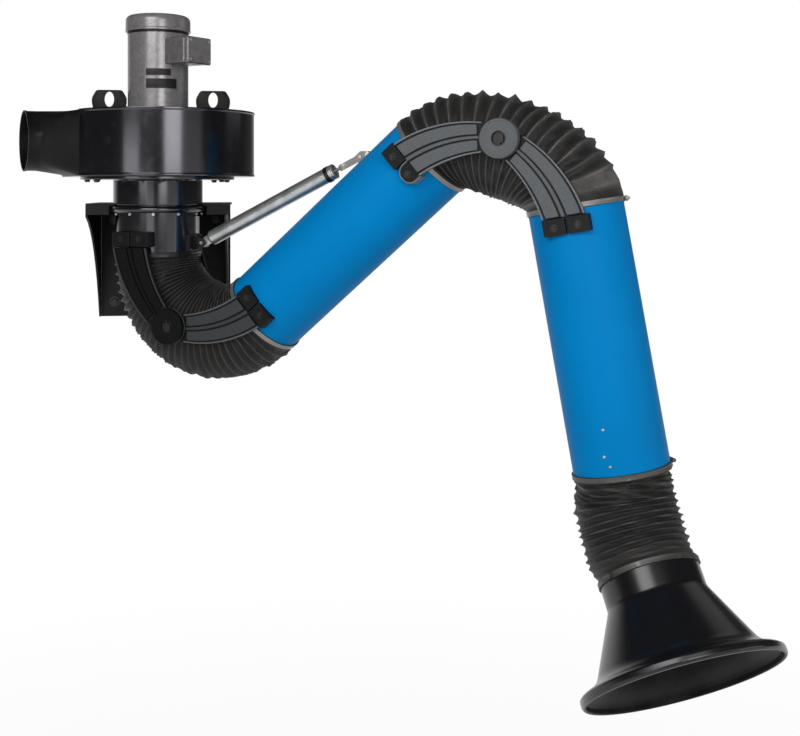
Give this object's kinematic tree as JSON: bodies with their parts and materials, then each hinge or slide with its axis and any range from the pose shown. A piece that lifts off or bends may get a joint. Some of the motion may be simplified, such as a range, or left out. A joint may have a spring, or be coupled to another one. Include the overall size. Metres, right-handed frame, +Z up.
{
  "type": "wall-mounted fume extraction arm",
  "caption": "Wall-mounted fume extraction arm: blower and motor over a swivel, two jointed tubes with outside links and pleated hoses, a balance strut and a flared hood.",
  "frame": {"origin": "centre of the wall plate's back face", "axes": "+Y into the wall, +X to the right along the wall seen from the room, +Z up"},
  "size_m": [1.6019, 1.1986, 1.4996],
  "materials": {
    "black_paint": "semi-gloss black powder coat",
    "blue_paint": "satin blue powder coat",
    "grey_paint": "satin grey enamel",
    "link_cast": "grained dark grey moulding",
    "hose_cloth": "coated pleated hose cloth",
    "zinc": "zinc plated",
    "steel": "bright steel",
    "hood_plastic": "glossy black",
    "label": "blank dark plate",
    "friction": "pressed friction lining"
  },
  "bodies": {
    "base": {"wall_plate": "black_paint", "shelf_plate": "black_paint", "gusset_left": "black_paint", "gusset_right": "black_paint", "neck_tube": "black_paint", "scroll_wall": "black_paint", "blower_top_plate": "black_paint", "blower_bottom_plate": "black_paint", "inlet_ring": "black_paint", "outlet_duct": "black_paint", "lug_left": "black_paint", "lug_right": "black_paint", "motor_body": "grey_paint", "motor_fan_cover": "grey_paint", "motor_terminal_box": "grey_paint", "motor_label_upper": "label", "motor_label_lower": "label"},
    "fan_rotor": {"fan_wheel": "steel", "motor_shaft": "steel"},
    "swivel": {"swivel_tube": "black_paint", "swivel_collar": "black_paint", "strut_clevis": "black_paint", "strut_pin_low": "steel", "shoulder_link_front_upper": "link_cast", "shoulder_link_back_upper": "link_cast", "shoulder_hose": "hose_cloth", "shoulder_hose_clamp_top": "steel"},
    "upper_arm": {"upper_tube": "blue_paint", "shoulder_link_front_lower": "link_cast", "shoulder_link_back_lower": "link_cast", "shoulder_friction_disc_front": "friction", "shoulder_friction_disc_back": "friction", "shoulder_pivot_bolt_front": "steel", "shoulder_pivot_bolt_back": "steel", "shoulder_hose_clamp_low": "steel", "elbow_link_front_upper": "link_cast", "elbow_link_back_upper": "link_cast", "elbow_hose": "hose_cloth", "elbow_hose_clamp_top": "steel", "strut_lug": "zinc", "strut_pin_top": "steel"},
    "lower_arm": {"lower_tube": "blue_paint", "elbow_link_front_lower": "link_cast", "elbow_link_back_lower": "link_cast", "elbow_friction_disc_front": "friction", "elbow_friction_disc_back": "friction", "elbow_pivot_bolt_front": "steel", "elbow_pivot_bolt_back": "steel", "elbow_hose_clamp_low": "steel", "hood_hose": "hose_cloth", "hood_hose_clamp_top": "steel", "hood_yoke_upper": "steel"},
    "strut_barrel": {"strut_barrel": "zinc", "strut_cap": "zinc", "strut_spring": "steel"},
    "strut_rod": {"strut_rod": "zinc"},
    "hood_cross": {"hood_cross": "steel"},
    "hood": {"hood_yoke_lower": "steel", "hood": "hood_plastic", "hood_hose_clamp_low": "steel"}
  },
  "joints": [
    {"name": "fan_spin", "type": "hinge", "parent": "base", "child": "fan_rotor", "pos_m": [0, -0.28, 0.187], "axis": [0, 0, 1], "continuous": true},
    {"name": "base_swivel", "type": "hinge", "parent": "base", "child": "swivel", "pos_m": [0, -0.28, 0.187], "axis": [0, 0, 1], "range_deg": [-122, 29]},
    {"name": "shoulder", "type": "hinge", "parent": "swivel", "child": "upper_arm", "pos_m": [0.09184, -0.33091, -0.131], "axis": [-0.4848, -0.8746, 0], "range_deg": [-38, 0], "deforming": ["shoulder_hose", "strut_spring"]},
    {"name": "elbow", "type": "hinge", "parent": "upper_arm", "child": "lower_arm", "pos_m": [0.79521, -0.72079, 0.29393], "axis": [-0.4848, -0.8746, 0], "range_deg": [-35, 60], "deforming": ["elbow_hose"]},
    {"name": "hood_tilt", "type": "hinge", "parent": "lower_arm", "child": "hood_cross", "pos_m": [1.01338, -0.84172, -0.49943], "axis": [-0.4848, -0.8746, 0], "range_deg": [-50, 18], "deforming": ["hood_hose"]},
    {"name": "hood_roll", "type": "hinge", "parent": "hood_cross", "child": "hood", "pos_m": [1.01338, -0.84172, -0.49943], "axis": [-0.7834, 0.4342, -0.4446], "range_deg": [-60, 8], "deforming": ["hood_hose"]},
    {"name": "strut_foot", "type": "hinge", "parent": "swivel", "child": "strut_barrel", "pos_m": [0.11195, -0.34206, 0.06], "axis": [-0.4848, -0.8746, 0], "range_deg": [-42.5, 1]},
    {"name": "strut_head", "type": "hinge", "parent": "upper_arm", "child": "strut_rod", "pos_m": [0.47607, -0.54389, 0.26289], "axis": [-0.4848, -0.8746, 0], "range_deg": [-4, 1]}
  ],
  "couplings": [
    {"joint": "strut_foot", "follows": "shoulder", "ratio": 1.098},
    {"joint": "strut_head", "follows": "shoulder", "ratio": 0.098}
  ]
}
